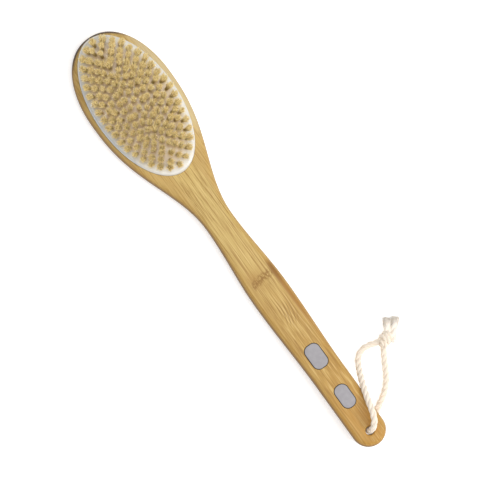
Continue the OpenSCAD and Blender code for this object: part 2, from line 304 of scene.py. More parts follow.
def bamboo_finish():
    """Bamboo laid up from lengthwise strips 21 mm wide. Each strip has its own tone. The
    tone also goes from pale at the neck to golden at the end. Fine lines run along X, a
    node band crosses the middle strip, and a dark streak follows one strip's edge."""
    s = settings().finish
    p = Paint("Bamboo")
    _, x, y, z = p.place()
    drop = p.painted("below_face")
    warp = p.noise(p.vector(x * 6, y * 24, z * 24), detail=1.0) - 0.5
    across = y + warp * 0.0012
    along_strips = (across - STRIP_START) / STRIP_WIDTH
    strip = along_strips.floor()
    seam = 1 - (along_strips.share() - 0.5).size().between(0.478, 0.497)
    tone = p.node("ShaderNodeTexWhiteNoise", {"noise_dimensions": "1D"}, {"W": strip * 1.7 + 0.3})
    off_middle = (across - STRIP_MIDDLE).size()
    # Fibres: long soft bands, fine lines and short dark dashes
    bands = p.noise(p.vector(x * 7, across * 330, z * 330 + strip * 3), detail=3.0)
    lines = p.noise(p.vector(x * 30, across * 1150, z * 600 + strip * 7))
    dashes = p.noise(p.vector(x * 120, across * 2300, z * 1500 + strip * 5), detail=1.0)
    cloud = p.noise(p.vector(x * 30, across * 60, z * 60))
    gold = (x.between(-0.06, 0.19) * 0.9 + (cloud - 0.5) * 0.5).clamp()
    vein = (bands.between(0.54, 0.32) * 0.30 + lines.between(0.50, 0.36) * 0.8
            + dashes.between(0.45, 0.30) * 0.42)
    # The outer strips are darker and more orange than the middle one
    side = off_middle.between(0.0096, 0.0114)
    # The node: a broken wavy band across the middle strip, with dark flecks
    ragged = (p.noise(p.vector(x * 40, y * 700, z)) - 0.5) * 0.006
    wave = (across * 900).sine() * 0.0008 + ragged
    off_node = (x - NODE_PLACE + wave + across * 0.1).size()
    middle = off_middle.between(0.0106, 0.0094)
    fleck = p.noise(p.vector(x * 420, across * 800, z * 300))
    band = off_node.between(0.0050, 0.0010) * middle * fleck.between(0.34, 0.54)
    glow = (x - NODE_PLACE).size().between(0.014, 0.002) * middle
    # The next strip's dark streak, darkest where it starts, fades along the handle
    edge = (across - 0.0128 - (x - 0.05) * 0.006).size().between(0.0032, 0.0006)
    streak = edge * x.between(0.024, 0.036) * x.between(0.128, 0.06) * (lines * 0.8 + 0.55)
    head = edge * x.between(0.026, 0.034) * x.between(0.056, 0.038) * (lines * 0.9 + 0.3)
    spot = p.noise(p.vector(x * 60 - 8.2, across * 200, z), detail=1.0).between(0.62, 0.74) \
        * x.between(0.125, 0.133) * x.between(0.150, 0.142) * across.between(0.008, 0.011)
    # Slim curved streaks below the node
    bow = across - 0.0045 + (x - 0.060) * (x - 0.060) * 9.0
    rake = ((bow * 2500).sine() * 0.5 + 0.5).between(0.5, 0.9) \
        * (x - 0.073).size().between(0.013, 0.005) * (across - 0.002).size().between(0.0075, 0.004)
    # Painted shade darkens the rounded edges and the cuts, most of all at -Y and at the
    # head's tip; a painted highlight lightens the head's +Y rim
    lit_rim_highlight = y.between(0.022, 0.032) * x.between(-0.07, -0.10)
    shaded_side, tip = y.between(0.004, -0.008), x.between(-0.180, -0.194)
    rgb = p.layers(
        p.mix(s.bamboo_pale, s.bamboo_gold, gold),
        ((0.72, 0.56, 0.26), (tone * 0.5 + (bands - 0.5) * 0.8).clamp() * 0.45),
        (s.bamboo_vein, (vein * 0.75).clamp()),
        ((0.82, 0.60, 0.25), lines.between(0.53, 0.66) * 0.5),
        ((0.52, 0.31, 0.085), side * 0.42),
        (s.bamboo_vein, (1 - seam) * 0.40),
        ((0.50, 0.235, 0.035), x.between(0.135, 0.175) * bands.between(0.35, 0.6) * 0.45),
        ((0.42, 0.22, 0.05), glow * cloud.between(0.25, 0.6) * 0.62),
        (s.bamboo_node, (band * 0.85).clamp()),
        ((0.36, 0.16, 0.03), streak.clamp() * 0.8),
        ((0.20, 0.09, 0.02), (head * 0.75).clamp()),
        ((0.50, 0.22, 0.04), spot * 0.5),
        (s.bamboo_node, rake * 0.6),
        # Painted light: a highlight on the +Y rim, then shade on the edges, in the cuts and at the
        # tip
        ((0.74, 0.64, 0.40), lit_rim_highlight * 0.55),
        ((0.40, 0.215, 0.055), drop.between(0.15, 2.2) * (shaded_side * 0.35 + 0.22)),
        ((0.13, 0.06, 0.02), drop.between(0.9, 3.2) * (shaded_side * 0.5 + 0.2)),
        ((0.07, 0.04, 0.02), drop.between(0.3, 1.8) * drop.between(6, 3.5) * tip))
    grain = lines * 0.5 + dashes * 0.5 - band * 0.3
    return p.set(Base_Color=rgb, Roughness=(0.50 + (bands - 0.5) * 0.2 + band * 0.1).clamp(),
                 Normal=p.bump(grain + seam * 0.4, 0.22, 0.0003),
                 Coat_Weight=0.05, Coat_Roughness=0.35, Specular_IOR_Level=0.3)


def pad_finish():
    """Milky white rubber with a gloss. Its colour carries painted light and shade: a warm
    bounce from the bristles among the tufts, shade round each tuft's root and a little
    bluish shade along the edge at -Y. A faint glow is painted light too."""
    s = settings().finish
    p = Paint("Milky rubber")
    point, _, y, _ = p.place()
    near, bristle_bounce = p.painted("near_tuft"), p.painted("among_tufts")
    cloud = p.noise(point, 90, 3.0)
    fine = p.noise(point, 1400)
    rgb = p.layers(
        s.pad_white,
        ((0.68, 0.70, 0.72), cloud.between(0.35, 0.75) * 0.35),
        # Painted light: a warm bounce among the tufts, shade at each root and bluish shade at -Y
        ((0.80, 0.62, 0.38), bristle_bounce * 0.92),
        ((0.52, 0.37, 0.17), near * 0.7),
        ((0.50, 0.56, 0.66), y.between(-0.020, -0.033) * (1 - bristle_bounce) * 0.55))
    return p.set(Base_Color=rgb, Roughness=(0.2 + cloud * 0.16).clamp(),
                 Normal=p.bump(fine, 0.12, 0.0002), Subsurface_Weight=0.25,
                 Subsurface_Radius=(0.006, 0.006, 0.006), Subsurface_Scale=0.6,
                 # A faint glow: painted light
                 Coat_Weight=0.8, Coat_Roughness=0.08, Emission_Color=rgb,
                 Emission_Strength=0.04)


def bristle_finish():
    """Plant bristle, darker and more olive at the root and golden at the tip, and each
    bristle with a tone of its own."""
    s = settings().finish
    p = Paint("Plant bristle")
    tone, rise = p.painted("bristle_tone"), p.painted("bristle_rise")
    _, x, y, z = p.place()
    fine = p.noise(p.vector(x * 900, y * 900, z * 200), detail=1.0)
    rgb = p.layers(
        s.bristle_root,
        (s.bristle_tip, rise.between(0.3, 0.97)),
        ((0.98, 0.90, 0.60), (tone.between(0.55, 1.0) * rise * 0.85).clamp()),
        ((0.34, 0.20, 0.04), tone.between(0.4, 0.0) * 0.7),
        ((0.55, 0.42, 0.17), fine.between(0.45, 0.7) * 0.3))
    return p.set(Base_Color=rgb, Roughness=0.48, Normal=p.bump(fine, 0.1, 0.0001),
                 # A glow that brightens the bristles: painted light
                 Emission_Color=rgb, Emission_Strength=0.13,
                 Subsurface_Weight=0.08, Subsurface_Radius=(0.002, 0.0014, 0.0006),
                 Specular_IOR_Level=0.45)


def grip_finish():
    """Matt soft-touch rubber with a fine grain, faint clouding and an outline of painted shade."""
    p = Paint("Soft grip rubber")
    point = p.place()[0]
    cloud = p.noise(point, 260, 3.0)
    grain = p.noise(point, 5200)
    rgb = p.layers(
        settings().finish.insert_grey,
        ((0.455, 0.44, 0.455), cloud.between(0.35, 0.7) * 0.45),
        ((0.30, 0.29, 0.31), grain.between(0.55, 0.8) * 0.25),
        # Painted shade of the gap round the insert, on its wall and rounded edge
        ((0.05, 0.04, 0.035), p.painted("rim").between(0.0, 0.6) * 0.9))
    return p.set(Base_Color=rgb, Roughness=(0.66 + cloud * 0.12).clamp(),
                 Normal=p.bump(grain, 0.25, 0.00012), Sheen_Weight=0.15, Sheen_Roughness=0.5)


def cotton_finish(name="Twisted cotton", white=0.0):
    """Cotton cord, paler as white grows. Its UV runs along the strand in metres and once
    round it. Fine yarns wind round each strand, and the shade gathers where strands
    meet."""
    s = settings().finish
    p = Paint(name)
    along, round_, _ = p.parts(p.node("ShaderNodeUVMap", {"uv_map": "Wound"}))
    yarn = ((round_ * 5 + along * 330) * TURN).sine() * 0.5 + 0.5
    fibre = p.noise(p.vector(along * 420, round_ * 60 + along * 500, 0.0), detail=3.0)
    soft = (p.noise(p.place()[0], 320, 3.0) - 0.55) * 0.25
    rgb = p.layers(
        s.cord_cream,
        (s.cord_shade, (p.painted("inner") * (0.42 - 0.5 * white) + soft).clamp()),
        ((0.93, 0.89, 0.83), (fibre.between(0.45, 0.7) * 0.4 + white).clamp()),
        # Painted shade in the grooves between the yarns
        (s.cord_shade, (1 - yarn).between(0.7, 1.0) * 0.10))
    return p.set(Base_Color=rgb, Roughness=0.92,
                 Normal=p.bump(yarn * 0.7 + fibre * 0.5, 0.5, 0.0004),
                 # A faint glow: painted light
                 Emission_Color=rgb, Emission_Strength=0.06,
                 Sheen_Weight=0.25, Sheen_Roughness=0.6, Specular_IOR_Level=0.2,
                 Subsurface_Weight=0.12, Subsurface_Radius=(0.003, 0.0024, 0.0018))


def steel_finish():
    """Drawn steel wire with fine lines along it."""
    p = Paint("Drawn steel")
    _, x, y, z = p.place()
    lines = p.noise(p.vector(x * 4000, y * 4000, z * 300))
    return p.set(Base_Color=p.mix(settings().finish.steel, (0.4, 0.4, 0.41), lines), Metallic=1.0,
                 Roughness=(0.28 + lines * 0.2).clamp(), Normal=p.bump(lines, 0.1, 0.0001))


# ---- Mesh making


def put_mesh(name, points, *faces):
    """A mesh from an array of points and arrays of faces, a face in each row."""
    mesh = bpy.data.meshes.new(name)
    mesh.vertices.add(len(points))
    mesh.vertices.foreach_set("co", np.asarray(points, np.float32).ravel())
    sizes = np.concatenate([np.full(len(f), f.shape[1]) for f in faces])
    loops = np.concatenate([f.ravel() for f in faces])
    mesh.loops.add(len(loops))
    mesh.loops.foreach_set("vertex_index", loops.astype(np.int32))
    mesh.polygons.add(len(sizes))
    mesh.polygons.foreach_set("loop_start", (np.cumsum(sizes) - sizes).astype(np.int32))
    mesh.polygons.foreach_set("use_smooth", np.ones(len(sizes), bool))
    mesh.update(calc_edges=True)
    mesh.validate()
    return mesh


def put_object(name, data):
    """Puts a mesh, a light or a camera in the scene."""
    made = bpy.data.objects.new(name, data)
    bpy.context.scene.collection.objects.link(made)
    return made


def put_piece(name, mesh, material, body, node):
    """Puts a finished mesh in the scene as a piece that stands for the given node."""
    piece = put_object(name, mesh)
    mesh.materials.clear()
    mesh.materials.append(material)
    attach(piece, body)
    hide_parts(node)
    return piece


def paint_points(mesh, name, values):
    """Keeps one number at each point of a mesh, for its finish to read."""
    mesh.attributes.new(name, "FLOAT", "POINT").data.foreach_set(
        "value", np.asarray(values, np.float32).ravel())


def tubes(rings, starts, ends):
    """Closed tubes from rings[tube, ring, side], each ring turning once and counted
    anticlockwise about the way the tube runs. A fan to a pole closes each end. Returns
    the points, the four-sided faces and the three-sided ones."""
    count, rows, sides = rings.shape[:3]
    first = (np.arange(count) * rows * sides)[:, None, None]
    row = (np.arange(rows - 1) * sides)[None, :, None]
    j = np.arange(sides)[None, None, :]
    k = (j + 1) % sides
    low, high = first + row, first + row + sides
    quads = np.stack(np.broadcast_arrays(low + j, low + k, high + k, high + j), -1)
    body = count * rows * sides
    tube = np.arange(count)[:, None]
    j, k = j[0], k[0]
    base, top = first[:, 0], first[:, 0] + (rows - 1) * sides
    fans = np.concatenate([
        np.stack(np.broadcast_arrays(body + tube, base + k, base + j), -1).reshape(-1, 3),
        np.stack(np.broadcast_arrays(body + count + tube, top + j, top + k), -1).reshape(-1, 3)])
    points = np.concatenate([rings.reshape(-1, 3), starts.reshape(-1, 3), ends.reshape(-1, 3)])
    return points, quads.reshape(-1, 4), fans


def stacked(rows):
    """Rings of points from rows of an outline and its height."""
    return np.stack([np.column_stack([line, np.full(len(line), h)]) for line, h in rows])


def closed(rings, high=None):
    """Closed surface from rising rings. Its low pole is the first ring's middle, and its
    high pole the last one's, or a given point."""
    high = rings[-1].mean(0) if high is None else high
    return tubes(rings[None], rings[:1].mean(1), np.array([high]))


def quarter(count):
    """Angles of a quarter turn."""
    return np.linspace(0, np.pi / 2, count)


def unit(v):
    return v / np.linalg.norm(v, axis=-1, keepdims=True)


def run_along(line):
    """Distance along a line of points, by its chords."""
    return np.concatenate([[0], np.cumsum(np.linalg.norm(np.diff(line, axis=0), axis=1))])


def ease(x, a, b, p, q, bias=1.0):
    """Goes from p at a to q at b along half a cosine wave of the share raised to bias,
    and stays level outside."""
    share = np.clip((np.asarray(x, float) - a) / (b - a), 0, 1) ** bias
    return p + (q - p) * (1 - np.cos(np.pi * share)) / 2


class BoardShape:
    """The board's outline and side profile as functions of x."""

    def __init__(self):
        b = self.b = settings().board
        self.tip, self.end = BOARD_LOW.x, BOARD_HIGH.x
        self.head_half = (BOARD_HIGH.y - BOARD_LOW.y) / 2
        self.peak, self.neck = self.tip + b.head_peak, self.tip + b.neck_place
        self.grip, self.straight = self.tip + b.grip_place, self.end - b.end_straight
        self.arc, self.hole = self.end - b.end_width / 2, self.end - b.hole_place
        self.flat = self.tip + b.flat_length

    def half_width(self, x):
        """Head to neck, neck to grip and grip to end, each an ease of the width."""
        b = self.b
        width = np.where(
            x < self.neck, ease(x, self.peak, self.neck, 2 * self.head_half, b.neck_width,
                                b.shoulder_bias),
            np.where(x < self.grip, ease(x, self.neck, self.grip, b.neck_width, b.grip_width),
                     ease(x, self.grip, self.straight, b.grip_width, b.end_width)))
        return width / 2

    def through(self, x, head, neck, grip, end):
        """Eases through the values at the head, neck, grip and end."""
        return np.where(x < self.neck, ease(x, self.flat, self.neck, head, neck),
                        np.where(x < self.grip, ease(x, self.neck, self.grip, neck, grip),
                                 ease(x, self.grip, self.hole, grip, end)))

    def under(self, x):
        """Height of the base."""
        return self.through(x, 0, self.b.neck_rise, 0, self.b.end_rise)

    def top(self, x):
        """Height of the top face."""
        b = self.b
        return self.under(x) + self.through(x, b.head_thickness, b.neck_thickness,
                                            b.grip_thickness, b.end_thickness)

    def slope(self, x):
        """Angle by which the top face falls towards +X."""
        step = 0.5 * MM
        return -math.atan((self.top(x + step) - self.top(x - step)) / (2 * step))

    def outline(self):
        """Half the outline, from tip to end: a superellipse's quarter, the waisted side
        and a circle's quarter."""
        a = quarter(91)
        power = 2 / self.b.head_fullness
        head = np.stack([self.peak - self.b.head_peak * np.maximum(np.cos(a), 0) ** power,
                         self.head_half * np.sin(a) ** power], -1)
        x = np.linspace(self.peak, self.arc, 211)[1:-1]
        r = self.b.end_width / 2
        a = quarter(41)
        return np.concatenate([head, np.stack([x, self.half_width(x)], -1),
                               np.stack([self.arc + r * np.sin(a), r * np.cos(a)], -1)])


def inward(half):
    """Unit normals towards the inside of half an outline; the two ends lie on the axis."""
    way = np.empty_like(half)
    way[1:-1] = half[2:] - half[:-2]
    normal = np.stack([way[:, 1], -way[:, 0]], -1)
    normal[0], normal[-1] = (1, 0), (-1, 0)
    return unit(normal)


def board_blank(shape):
    """The board without its cuts. Rows of the outline are moved inward by
    r(1 - cos a) while they leave the base or the top by r(1 - sin a), and the two broad
    faces are bands between facing points."""
    half = shape.outline()
    normal = inward(half)
    r = shape.b.edge_radius
    a = quarter(9)
    inset = r * (1 - np.cos(a))
    drop = r * (1 - np.sin(a))
    rows = [(i, shape.under, d) for i, d in zip(inset[::-1], drop[::-1])]
    rows += [(i, shape.top, -d) for i, d in zip(inset, drop)]
    rings = []
    for move, level, lift in rows:
        line = half + move * normal
        line = np.concatenate([line * (1, -1), line[-2:0:-1]])
        rings.append(np.column_stack([line, level(line[:, 0]) + lift]))
    m, n = len(half), 2 * len(half) - 2
    i = np.arange(1, m - 2)
    band = np.stack([i, i + 1, n - i - 1, n - i], -1)
    ends = np.array([[0, 1, n - 1], [m - 2, m - 1, m]])
    top = (len(rows) - 1) * n
    j = np.arange(n)
    k = (j + 1) % n
    q = (np.arange(len(rows) - 1) * n)[:, None]
    walls = np.stack([q + j, q + k, q + n + k, q + n + j], -1).reshape(-1, 4)
    return put_mesh("board_blank", np.concatenate(rings), walls, band + top, band[:, ::-1],
                    ends + top, ends[:, ::-1])


def oval_ring(a, b, move, angle):
    """Points of an ellipse moved inward along its normal."""
    c, s = np.cos(angle), np.sin(angle)
    return np.stack([a * c, b * s], -1) - move * unit(np.stack([c / a, s / b], -1))


PLATE_SIDES, PAD_SIDES = 160, 560


def plate_ring(size_x, size_y, corner, move):
    """Outline of a plate with round corners, moved inward, counted by its corner
    angle: the corner's centre plus the corner's radius along the direction."""
    angle = TURN * (np.arange(PLATE_SIDES) + 0.5) / PLATE_SIDES
    c, s = np.cos(angle), np.sin(angle)
    centre = np.stack([np.sign(c) * (size_x / 2 - corner), np.sign(s) * (size_y / 2 - corner)], -1)
    return centre + (corner - move) * np.stack([c, s], -1)


def pad_ovals():
    """Half axes and middle of the pad, and the height of its face."""
    size = PAD_HIGH - PAD_LOW
    return size.x / 2, size.y / 2, (PAD_HIGH.x + PAD_LOW.x) / 2, PAD_HIGH.z


def tuft_places():
    """Root x, y, direction of lean and lean of the tufts, ring by ring and then the
    middle row. A ring is an ellipse that keeps its distance from the pad's edge. Its
    tufts stand at equal lengths of arc, summed from short chords, and every other ring
    is turned by half a step. The row's tufts stand midway between the innermost ring's.
    The lean fades towards the middle."""
    t = settings().tuft
    a, b, middle, _ = pad_ovals()
    a, b = a - t.inset, b - t.inset
    step = b / t.rings
    rings = []
    for k in range(t.rings):
        ra, rb = a - k * step, b - k * step
        angle = np.linspace(0, TURN, 2001)
        line = np.stack([ra * np.cos(angle), rb * np.sin(angle)], -1)
        run = run_along(line)
        count = 2 * round(run[-1] / t.pitch / 2)
        at = np.interp((np.arange(count) + 0.5 * (k % 2)) / count * run[-1], run, angle)
        c, s = np.cos(at), np.sin(at)
        rings.append(np.stack([middle + ra * c, rb * s, np.arctan2(ra * s, rb * c),
                               np.full(count, t.lean * (1 - k / t.rings))], -1))
    inner = rings[-1][:len(rings[-1]) // 2, 0]
    row = (inner[1:-1] + inner[2:]) / 2
    rings.append(np.stack([row, 0 * row, 0 * row, 0 * row], -1))
    return rings


def smooth_line(points, step):
    """A natural cubic spline through the points, by length of chord, at even steps. Its
    second derivatives come from the usual three-term equations solved at once."""
    p = np.asarray(points, float)
    knots = run_along(p)
    h = np.diff(knots)
    n = len(p)
    system = np.eye(n)
    i = np.arange(1, n - 1)
    system[i, i - 1], system[i, i], system[i, i + 1] = h[:-1], 2 * (h[:-1] + h[1:]), h[1:]
    right = np.zeros((n, 3))
    slopes = np.diff(p, axis=0) / h[:, None]
    right[1:-1] = 6 * np.diff(slopes, axis=0)
    bend = np.linalg.solve(system, right)
    fine = np.linspace(0, knots[-1], 40 * n)
    j = np.clip(np.searchsorted(knots, fine, side="right") - 1, 0, n - 2)
    u, v = (fine - knots[j])[:, None], (knots[j + 1] - fine)[:, None]
    w = h[j][:, None]
    line = (bend[j] * v ** 3 + bend[j + 1] * u ** 3) / (6 * w) \
        + (p[j] / w - bend[j] * w / 6) * v + (p[j + 1] / w - bend[j + 1] * w / 6) * u
    run = run_along(line)
    even = np.linspace(0, run[-1], max(8, round(run[-1] / step)) + 1)
    return np.stack([np.interp(even, run, line[:, k]) for k in range(3)], -1), even


def carried_frame(line, run, hint=(0.35, 0.3, 0.9)):
    """Tangent and two side vectors along a line. The sides start from a fixed hint made
    square to the line, and are turned back by the summed turning of that pair, so that
    they twist as little as they can."""
    tangent = unit(np.gradient(line, run, axis=0))
    u = unit(np.array(hint) - tangent * (tangent @ np.array(hint))[:, None])
    v = np.cross(tangent, u)
    turning = np.sum(np.gradient(u, run, axis=0) * v, axis=1)
    angle = -np.concatenate([[0], np.cumsum((turning[1:] + turning[:-1]) / 2 * np.diff(run))])
    c, s = np.cos(angle)[:, None], np.sin(angle)[:, None]
    return tangent, u * c + v * s, v * c - u * s


# Shares of a rope's thickness: how far a strand's middle lies from the rope's, and the
# strand's radius
STRAND_OFFSET, STRAND_RADIUS = 0.215, 0.285


def twisted(line, run, thickness, lay, phase=0.0, swell=1.0, strands=3, sides=18):
    """A twisted rope along a line. A strand's middle winds round the line, once in each
    lay, and its round section has five low yarn ridges that wind the other way. swell
    multiplies the size along the line. Returns points, faces and, for each point, its
    length along, turn round and nearness to the rope's middle."""
    _, u, v = carried_frame(line, run)
    size = (thickness * swell * np.ones(len(run)))[:, None]
    ridges, ridge_height, ridge_lay = 5, 0.02, lay * 0.42
    parts = []
    for k in range(strands):
        a = (TURN * (run / lay + k / strands) + phase)[:, None]
        out = u * np.cos(a) + v * np.sin(a)
        middle = line + STRAND_OFFSET * size * out
        way = unit(np.gradient(middle, run, axis=0))
        side = unit(np.cross(way, out))
        face = np.cross(side, way)
        b = TURN * np.arange(sides)[None, :] / sides
        ridge = 1 + ridge_height * np.cos(ridges * b - TURN * run[:, None] / ridge_lay)
        radius = (STRAND_RADIUS * size * ridge)[..., None]
        parts.append(middle[:, None] + radius * (face[:, None] * np.cos(b)[..., None]
                                                 + side[:, None] * np.sin(b)[..., None]))
    rings = np.stack(parts)
    points, *faces = tubes(rings, rings[:, 0].mean(1), rings[:, -1].mean(1))
    along = np.broadcast_to(run[None, :, None], rings.shape[:3])
    turn = np.broadcast_to((np.arange(sides) / sides)[None, None], rings.shape[:3])
    off = np.linalg.norm(rings - line[None, :, None], axis=-1)
    inner = np.clip(1.12 - off / (0.40 * size[None]), 0, 1)
    close = [np.concatenate([w.ravel(), np.zeros(2 * strands)]) for w in (along, turn, inner)]
    return points, faces, close


def hairs(roots, ways, lengths, rng, thickness, droop=0.5):
    """Short curved fibres: three-sided tubes that leave a root along a way, droop to a
    random side with the square of the length, and taper."""
    n, sides, taper = len(roots), 3, 0.6
    t = np.array([0.0, 0.5, 1.0])
    side = unit(np.cross(ways, rng.normal(size=(n, 3))))
    other = np.cross(ways, side)
    reach = (lengths[:, None] * t)[..., None]
    middle = roots[:, None] + ways[:, None] * reach \
        + side[:, None] * reach * t[None, :, None] * droop
    b = TURN * np.arange(sides) / sides
    size = (thickness / 2 * (1 - taper * t))[None, :, None, None]
    rings = middle[:, :, None] + size * (
        side[:, None, None] * np.cos(b)[None, None, :, None]
        + other[:, None, None] * np.sin(b)[None, None, :, None])
    points, *faces = tubes(rings, middle[:, 0], middle[:, -1])
    return points, faces, [np.full(len(points), shade) for shade in (0.0, 0.0, 0.1)]


def join_parts(name, parts):
    """One mesh from several parts, with the cord's UV map and its inner shade."""
    starts = np.cumsum([0] + [len(p[0]) for p in parts])
    faces = [f + s for p, s in zip(parts, starts) for f in p[1]]
    points = np.concatenate([p[0] for p in parts])
    points[:, 2] = np.maximum(points[:, 2], 0.1 * MM)  # nothing goes below the table
    along, turn, inner = [np.concatenate([p[2][i] for p in parts]) for i in range(3)]
    mesh = put_mesh(name, points, *faces)
    paint_points(mesh, "inner", inner)
    corner = np.empty(len(mesh.loops), np.int32)
    mesh.loops.foreach_get("vertex_index", corner)
    turns = turn[corner]
    # A face that crosses the seam has its turn carried on past one
    size = np.empty(len(mesh.polygons), np.int32)
    mesh.polygons.foreach_get("loop_total", size)
    start = np.cumsum(size) - size
    most = np.maximum.reduceat(turns, start)
    turns = np.where((np.repeat(most, size) > 0.75) & (turns < 0.25), turns + 1, turns)
    uv = mesh.uv_layers.new(name="Wound")
    uv.data.foreach_set("uv", np.stack([along[corner], turns], -1).astype(np.float32).ravel())
    return mesh


def fuzz(line, run, thickness, rng, count):
    """Fibres that stand out from the side of a cord, at random places along it."""
    tangent, u, v = carried_frame(line, run)
    at = rng.integers(2, len(line) - 2, count)
    a = rng.uniform(0, TURN, count)[:, None]
    out = u[at] * np.cos(a) + v[at] * np.sin(a)
    way = unit(out + tangent[at] * rng.uniform(-1.6, 1.6, count)[:, None])
    return hairs(line[at] + out * thickness * 0.43, way, rng.uniform(0.6, 1.7, count) * MM, rng,
                 0.06 * MM)


# Route of the cord's middle line about the hang hole's axis, in millimetres: from the
# knot over the handle, down through the hole and back under the handle to the knot
CORD_ROUTE = [
    (-51, 52, 6), (-52.5, 46.5, 4.5), (-54, 41, 3.5), (-54.5, 35.5, 3), (-53, 30.5, 3),
    (-49.5, 26.5, 4.2), (-44.5, 23.2, 7), (-39.5, 20.5, 10.7), (-34.5, 18, 15),
    (-28.5, 15.5, 19.5), (-22, 13.2, 23.4), (-16, 11.4, 26.2), (-10.6, 9.6, 28),
    (-5.7, 7.2, 28), (-2.2, 4.4, 25.9), (-0.3, 1.6, 22.1), (0, 0, 17.8),
    (0, -0.1, 13.4), (-0.4, 0.9, 9.1), (-1.6, 3.5, 5.7), (-3.3, 7, 3.6), (-5.5, 11, 3),
    (-8.3, 16, 3), (-12, 22.5, 3), (-16, 28.5, 3), (-21, 33.8, 3), (-27, 38.2, 3),
    (-33.5, 42, 3), (-40, 45.6, 3.7), (-45.5, 49, 5), (-49.5, 53, 6)]
KNOT_PLACE, KNOT_TURN = (-50.5, 53.5, 6.3), math.radians(97)
TAIL_INNER = [(-52, 56, 5.5), (-64, 66, 3.2)]
TAIL_OUTER = [(-47.3, 59.8, 5.5), (-60.8, 72, 3.2)]


def at_hole(points):
    """Points about the hang hole's axis in millimetres, as points in metres."""
    return np.asarray(points, float) * MM + (BoardShape().hole, 0, 0)


def knot_mesh(rng):
    """The knot: a rope that winds about the knot's axis on a helix. The helix starts
    and ends near the axis, so both of its ends are tucked in."""
    c = settings().cord
    axis = np.array([math.cos(KNOT_TURN), math.sin(KNOT_TURN), 0])
    side = np.array([-math.sin(KNOT_TURN), math.cos(KNOT_TURN), 0])
    middle = at_hole(KNOT_PLACE)
    reach = (c.knot_width - c.thickness) / 2
    t = np.linspace(0, 1, 40)
    wide = reach * np.clip(np.sin(np.pi * t) * 2.6, 0.12, 1)
    turns = 2.35
    a = TURN * turns * t + 0.6
    rise = (t - 0.5) * c.thickness * 1.55 + 1.2 * MM * np.sin(a + 0.4)
    wrap = middle + axis * rise[:, None] + side * (wide * np.cos(a))[:, None]
    wrap[:, 2] += wide * np.sin(a)
    line, run = smooth_line(wrap, 0.5 * MM)
    # Core: a short rope straight through the knot, with a slight wave
    core, core_run = smooth_line(middle + axis * np.linspace(-5.5, 5.5, 6)[:, None] * MM
                                 + side * np.array([0.2, -0.6, 0, 0.6, 0.2, 0])[:, None] * MM,
                                 0.6 * MM)
    return join_parts("tied_knot", [
        twisted(line, run, c.thickness, c.lay, 0.5),
        twisted(core, core_run, c.thickness * 1.05, c.lay, 1.9),
        fuzz(line, run, c.thickness, rng, 60)])


def tail_mesh(name, ends, bow, rng):
    """A loose cord end: a twisted stub that opens towards its blunt end, where a bundle
    of frayed fibres leaves it."""
    c = settings().cord
    a, b = at_hole(ends)
    way = unit(b - a)
    side = np.cross(way, (0, 0, 1.0))
    back = a - way * 3 * MM
    back = back * (1, 1, 0) + (0, 0, a[2])
    tip = b - way * c.fray * 0.55
    t = np.linspace(0, 1, 7)[:, None]
    line, run = smooth_line(back + (tip - back) * t + side * bow * MM * np.sin(np.pi * t),
                            0.5 * MM)
    open_ = np.clip((run / run[-1] - 0.35) / 0.65, 0, 1)
    swell = c.end_width / c.thickness * (1 + 0.08 * open_ ** 2)
    rope = twisted(line, run, c.thickness, c.lay * 1.3, bow, swell)
    fibres, tucked = 620, 1.6 * MM
    spin = rng.uniform(0, TURN, fibres)
    far = np.sqrt(rng.uniform(0, 1, fibres)) * c.end_width * 0.53
    up = np.cross(side, way)
    off = side * (far * np.cos(spin))[:, None] + up * (far * np.sin(spin))[:, None]
    roots = tip - way * tucked + off * 0.9
    lean = unit(way + off / c.end_width * 0.05 + rng.normal(0, 0.04, (fibres, 3)))
    fray = hairs(roots, lean, rng.uniform(0.62, 1, fibres) * (c.fray * 0.55 + tucked), rng,
                 0.36 * MM, 0.08)
    return join_parts(name, [rope, fray, fuzz(line[:-6], run[:-6], c.end_width * 1.02, rng, 50)])


# ---- Operators


